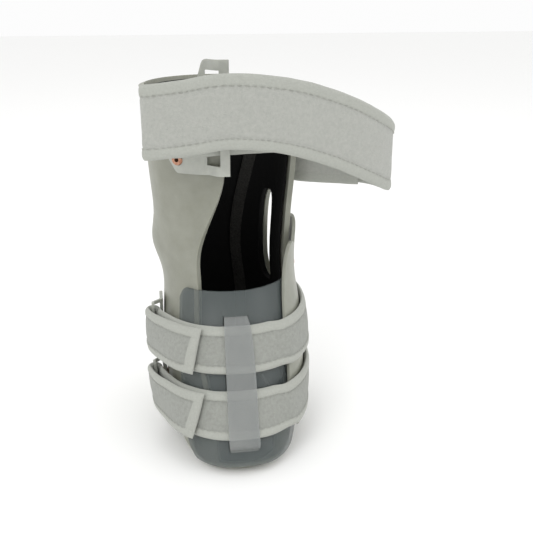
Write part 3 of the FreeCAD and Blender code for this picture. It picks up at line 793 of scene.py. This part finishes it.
def make_hook_patch(name, node_name, body, stations, half_width):
    """Patch of hook tape, its field of stubby hooks shown as rows of little nubs."""
    outer, inner = [[[s(w * half_width, lift) for w in PATCH_EDGES] for s in stations]
                    for lift in (PATCH_HALF, -PATCH_HALF)]
    patch = slab(name, inner, outer, HOOK_TAPE)
    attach(patch, body)
    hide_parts(node_name)
    points, faces = [], []
    for i in range(1, len(stations) - 1):
        for k in range(-12, 13):
            across = (k + 0.5 * (i % 2)) / 13 * half_width
            base = len(points)
            for lift, size in HOOK_RINGS:
                centre = stations[i](across, -lift)
                for turn in range(5):
                    angle = 2 * math.pi * turn / 5
                    up = Vector((0, 0, 1)) * math.sin(angle)
                    way = (stations[i + 1](across, 0) - stations[i - 1](across, 0)).normalized()
                    points.append(centre + (up + way * math.cos(angle)) * size)
            for ring in (0, 5):
                for turn in range(5):
                    k2 = (turn + 1) % 5
                    faces.append((base + ring + turn, base + ring + k2, base + ring + 5 + k2,
                                  base + ring + 5 + turn))
            faces.append(tuple(base + turn for turn in range(5))[::-1])
            faces.append(tuple(base + 10 + turn for turn in range(5)))
    hooks = piece_of(name + "_hooks", points, faces, [HOOK_TAPE])
    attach(hooks, body)


FOOT_BINDING = Binding(12.5, 5.0, 1.9)
CALF_BINDING = Binding(18, 6.0, 2.2)


def band_middle(angle):
    rest = BAND_LOW + STRAP_THICK / 2
    over_flap = FLAP_HIGH + 1.5 * LAYER_GAP + STRAP_THICK / 2
    return between(rest, over_flap, soft_step(26, 37, angle))


def make_foot_strap(name, level):
    """Band from its rivet round the front, and the turned end that peels."""
    # The foot straps take the nap whose darker colour is painted shade.
    finishes = [SHADED_LOOP_FABRIC, BINDING_TAPE]
    angles = [between(STRAP_REAR, BAR_ANGLE + 1.5, s) for s in stops(110)]
    stations = [foot_station(angle, level, band_middle(angle)) for angle in angles]
    band = make_strap(name + "_strap", stations, FOOT_BINDING, STRAP_THICK, finishes, (True, False))
    settle(band, "root", [name + "_strap_band"])
    settle(STITCHES[name + "_strap_stitches"], "root")

    fold_out = BAR_OFFSET + FOLD_MIDDLE
    rest = BAND_LOW + STRAP_THICK * 1.5 + LAYER_GAP + PATCH_THICK + PATCH_GAP

    def leaf_middle(angle):
        return between(fold_out, rest, soft_step(ROOT_ANGLE, ROOT_ANGLE + 20, angle))

    stations = [fold_station(turn, level) for turn in range(0, 181, 9)]
    leaf = [between(BAR_ANGLE + 1.2, LEAF_TIP, s) for s in stops(48)]
    stations += [foot_station(angle, level, leaf_middle(angle)) for angle in leaf]
    turned = make_strap(name + "_strap_turn", stations, FOOT_BINDING, STRAP_THICK, finishes,
                        (False, True))
    tip = name + "_strap_tip"
    root_point = boot_station(ROOT_ANGLE, level, fold_out)(0, 0)
    for piece in (turned, STITCHES[name + "_strap_turn_stitches"]):
        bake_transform(piece)
    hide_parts(name + "_strap_end")

    under = BAND_LOW + STRAP_THICK + LAYER_GAP + PATCH_THICK / 2
    stations = [foot_station(between(-47.7, -28.8, s), level, under) for s in stops(18)]
    make_hook_patch(name + "_hook_tape", name + "_hook_patch", tip, stations,
                    FOOT_BINDING.half_width * 0.8)


def route_points(route):
    """Closely spaced points on a smooth curve through a route."""
    ends = [2 * Vector(route[0]) - Vector(route[1])]
    ends += [Vector(p) for p in route]
    ends += [2 * Vector(route[-1]) - Vector(route[-2])]
    path = []
    for a, b, c, d in zip(ends, ends[1:], ends[2:], ends[3:]):
        steps = max(2, int((c - b).length / 1.1))
        for step in range(steps):
            f = step / steps
            path.append(0.5 * (2 * b + (c - a) * f + (2 * a - 5 * b + 4 * c - d) * f * f
                               + (3 * b - a - 3 * c + d) * f ** 3))
    path.append(ends[-2])
    return path


def free_stations(path, middle):
    """Places on an upright strap whose middle line is a path; out is to its right."""
    stations = []
    for i, point in enumerate(path):
        way = path[min(i + 1, len(path) - 1)] - path[max(i - 1, 0)]
        way.normalize()
        up_way = (Vector((0, 0, 1)) - way * way.z).normalized()
        out = way.cross(up_way)
        stations.append(lambda across, outward, p=point, u=up_way, o=out:
                        p + u * across + o * (middle + outward))
    return stations


# Middle line of the calf band, from its end behind the loop's bar to the right side.
CALF_ROUTE = [
    (24, -36, 177), (10, -38, 177), (0.5, -39.6, 177), (-4, -39.8, 177), (-10.5, -42, 177),
    (-20, -43.2, 177), (-33, -43.6, 177), (-40.3, -46.6, 177.4), (-36, -50.6, 178.2),
    (-20, -54.6, 180.5), (0, -58, 183.5), (28, -57.4, 180.5), (55, -50, 171.5),
    (76, -38.5, 160.5), (86.5, -27, 153.5), (88.3, -18, 151), (86.5, -10.5, 150.3)]
CALF_END = [
    (86.3, -9.9, 150.3), (83.8, -4.2, 150.2), (79.3, 1.2, 150), (72, 5.2, 150), (60, 9.9, 150)]
LANDING_ROUTE = [(44, 11.5, 150), (51, 7.3, 150), (64, 2.4, 150), (77, -2.6, 150)]


def make_calf_strap():
    """Band through its loop and back across the front, its free end, and the landing strap."""
    finishes = [LOOP_FABRIC, BINDING_TAPE]
    path = route_points(CALF_ROUTE)
    split = min(range(len(path)), key=lambda i: (path[i] - Vector(CALF_ROUTE[-2])).length)
    band = make_strap("calf_strap", free_stations(path, 0)[:split + 1], CALF_BINDING, STRAP_THICK,
                      finishes, (True, False))
    settle(band, "root", ["calf_strap_band"])
    settle(STITCHES["calf_strap_stitches"], "root")

    free_path = route_points(CALF_ROUTE[-3:] + CALF_END)
    first = min(range(len(free_path)),
                key=lambda i: (free_path[i] - Vector(CALF_ROUTE[-2])).length)
    free_end = make_strap("calf_strap_turn", free_stations(free_path, 0)[first:], CALF_BINDING,
                          STRAP_THICK, finishes, (False, True))
    for piece in (free_end, STITCHES["calf_strap_turn_stitches"]):
        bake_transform(piece)
    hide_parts("calf_strap_end")
    patch_path = route_points(CALF_END[1:])[3:-3]
    stations = free_stations(patch_path, -(STRAP_THICK + PATCH_THICK) / 2 - 0.05)
    make_hook_patch("calf_hook_tape", "calf_hook_patch", "calf_strap_tip", stations[::2],
                    CALF_BINDING.half_width - 3)

    middle = LAYER_GAP + STRAP_THICK / 2
    level = LANDING_ROUTE[0][2]
    wall = [boot_station(between(147, 114, s), level, middle) for s in stops(20)]
    loose = route_points([tuple(wall[-2](0, 0)), tuple(wall[-1](0, 0))] + LANDING_ROUTE)
    join = min(range(len(loose)), key=lambda i: (loose[i] - wall[-1](0, 0)).length)
    away = free_stations(loose, 0)[join + 3:]
    landing = make_strap("calf_landing", wall + [mirror_out(s) for s in away], CALF_BINDING,
                         STRAP_THICK, finishes, (True, True))
    settle(landing, "root", ["calf_landing_strap"])
    settle(STITCHES["calf_landing_stitches"], "root")


def mirror_out(station):
    return lambda across, outward: station(across, -outward)


# ---------------------------------------------------------------- carried-over hardware

HARDWARE = {"chafe_loop": NATURAL_NYLON, "rivet": COPPER_PLATE, "washer": COPPER_PLATE}


def finish_hardware():
    """Finishes the rivets, washers and loops that are shown as the CAD has them."""
    for name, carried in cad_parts.items():
        for ending, finish in HARDWARE.items():
            if ending in name:
                if not carried.data.materials:
                    carried.data.materials.append(finish)
                for place in range(len(carried.data.materials)):
                    carried.data.materials[place] = finish


# ---------------------------------------------------------------- build

make_shell()
make_lining("lining_left_foam", lambda h: stripe(h) - 360 + 0.6, lambda h: left_trim(h) - 2,
            "lining_left")
make_lining("lining_right_foam", lambda h: right_trim(h) + 2, lambda h: stripe(h) - 0.6,
            "lining_right", window=True)
make_ground_edge()
make_foot_pad()
make_side_flap()
make_tongue()
for strap_name, strap_level in (("instep", 59), ("forefoot", 29)):
    make_foot_strap(strap_name, strap_level)
make_calf_strap()
finish_hardware()


# ---------------------------------------------------------------- stage

def area_light(name, place, target, size, energy):
    lamp = bpy.data.lights.new(name, "AREA")
    lamp.shape, lamp.size, lamp.energy = "DISK", size, energy
    light = bpy.data.objects.new(name, lamp)
    bpy.context.scene.collection.objects.link(light)
    light.location = place
    light.rotation_euler = (Vector(target) - Vector(place)).to_track_quat("-Z", "Y").to_euler()
    return light


def make_stage():
    bpy.ops.mesh.primitive_plane_add(size=6)
    floor = bpy.context.object
    floor.name = "studio_floor"
    paper = bpy.data.materials.new("studio_paper")
    paper.use_nodes = True
    shader = paper.node_tree.nodes["Principled BSDF"]
    shader.inputs["Base Color"].default_value = colour("F8F8F7")
    shader.inputs["Roughness"].default_value = 0.9
    floor.data.materials.append(paper)
    middle = (0.02, 0, 0.09)
    lights = [area_light("key_light", (-0.55, -0.75, 0.95), middle, 0.7, 3.4),
              area_light("fill_light", (0.85, -0.65, 0.55), middle, 0.8, 1.2),
              area_light("top_light", (0.1, 0.35, 1.2), middle, 0.9, 2.0)]
    world = bpy.data.worlds.new("studio_air")
    world.use_nodes = True
    world.node_tree.nodes["Background"].inputs["Color"].default_value = (1, 1, 1, 1)
    world.node_tree.nodes["Background"].inputs["Strength"].default_value = 0.98
    bpy.context.scene.world = world
    azimuth, elevation, distance = math.radians(-8), math.radians(20), 0.456
    target = Vector((0.023, -0.015, 0.090))
    back = Vector((math.sin(azimuth) * math.cos(elevation),
                   -math.cos(azimuth) * math.cos(elevation), math.sin(elevation)))
    lens = bpy.data.cameras.new("camera")
    lens.lens, lens.sensor_width, lens.clip_start = 55, 36, 0.01
    camera = bpy.data.objects.new("camera", lens)
    bpy.context.scene.collection.objects.link(camera)
    camera.location = target + back * distance
    camera.rotation_euler = (-back).to_track_quat("-Z", "Y").to_euler()
    bpy.context.scene.camera = camera
    bpy.context.scene.view_settings.view_transform = "Standard"


make_stage()
